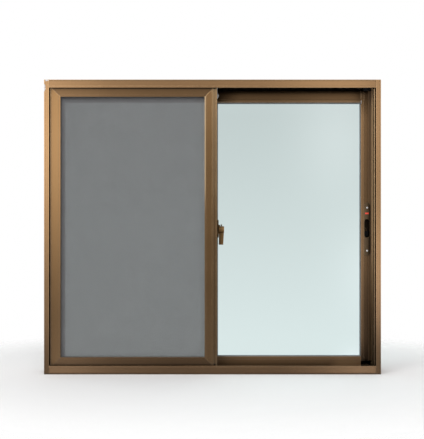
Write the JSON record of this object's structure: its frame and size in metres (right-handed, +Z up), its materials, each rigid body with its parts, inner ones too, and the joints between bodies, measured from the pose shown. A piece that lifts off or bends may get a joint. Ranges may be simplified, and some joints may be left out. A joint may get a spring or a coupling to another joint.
{
  "type": "sliding window",
  "caption": "Horizontal sliding window in bronze aluminium: two glass sashes and an insect screen on parallel tracks, with a crescent latch and flush locks.",
  "frame": {"origin": "middle of the sill's underside", "axes": "+X along the tracks, +Y away from the screen side, +Z up"},
  "size_m": [1.2, 0.104, 1.05],
  "materials": {
    "bronze_aluminium": "bronze anodised, satin",
    "glass": "clear, faint green",
    "grey_rubber": "matt",
    "mesh_cloth": "woven grey fibreglass screen",
    "pile": "short wool pile",
    "red_plastic": "gloss",
    "dark_casting": "dark bronze, satin",
    "black_plastic": "moulded",
    "white_plastic": "moulded"
  },
  "bodies": {
    "frame": {"head_track": "bronze_aluminium", "left_jamb": "bronze_aluminium", "right_jamb": "bronze_aluminium", "sill_track": "bronze_aluminium"},
    "screen": {"screen_bottom_rail": "bronze_aluminium", "screen_left_stile": "bronze_aluminium", "screen_mesh": "mesh_cloth", "screen_pile_seal": "pile", "screen_right_stile": "bronze_aluminium", "screen_roller_left": "black_plastic", "screen_roller_right": "black_plastic", "screen_spline": "grey_rubber", "screen_top_rail": "bronze_aluminium"},
    "left_sash": {"latch_base": "dark_casting", "left_sash_bottom_rail": "bronze_aluminium", "left_sash_gasket": "grey_rubber", "left_sash_glass": "glass", "left_sash_guide_inner": "white_plastic", "left_sash_guide_outer": "black_plastic", "left_sash_lock_case": "dark_casting", "left_sash_lock_marker": "red_plastic", "left_sash_meeting_stile": "bronze_aluminium", "left_sash_outer_stile": "bronze_aluminium", "left_sash_pile_seal": "pile", "left_sash_roller_inner": "black_plastic", "left_sash_roller_outer": "black_plastic", "left_sash_top_rail": "bronze_aluminium"},
    "right_sash": {"latch_keeper": "dark_casting", "right_sash_bottom_rail": "bronze_aluminium", "right_sash_gasket": "grey_rubber", "right_sash_glass": "glass", "right_sash_guide_inner": "black_plastic", "right_sash_guide_outer": "black_plastic", "right_sash_lock_case": "dark_casting", "right_sash_lock_marker": "red_plastic", "right_sash_meeting_stile": "bronze_aluminium", "right_sash_outer_stile": "bronze_aluminium", "right_sash_roller_inner": "black_plastic", "right_sash_roller_outer": "black_plastic", "right_sash_top_rail": "bronze_aluminium"},
    "latch_lever": {"latch_lever": "dark_casting"},
    "left_lock_slide": {"left_sash_lock_slide": "dark_casting"},
    "right_lock_slide": {"right_sash_lock_slide": "dark_casting"}
  },
  "joints": [
    {"name": "screen_slide", "type": "slide", "parent": "frame", "child": "screen", "axis": [1, 0, 0], "range_m": [0, 0.555]},
    {"name": "left_sash_slide", "type": "slide", "parent": "frame", "child": "left_sash", "axis": [1, 0, 0], "range_m": [0, 0.525]},
    {"name": "right_sash_slide", "type": "slide", "parent": "frame", "child": "right_sash", "axis": [-1, 0, 0], "range_m": [0, 0.555]},
    {"name": "latch_turn", "type": "hinge", "parent": "left_sash", "child": "latch_lever", "pos_m": [0.0245, -0.006, 0.515], "axis": [-1, 0, 0], "range_deg": [0, 180]},
    {"name": "left_lock_thumb", "type": "slide", "parent": "left_sash", "child": "left_lock_slide", "axis": [0, 0, 1], "range_m": [0, 0.012]},
    {"name": "right_lock_thumb", "type": "slide", "parent": "right_sash", "child": "right_lock_slide", "axis": [0, 0, 1], "range_m": [0, 0.012]}
  ]
}
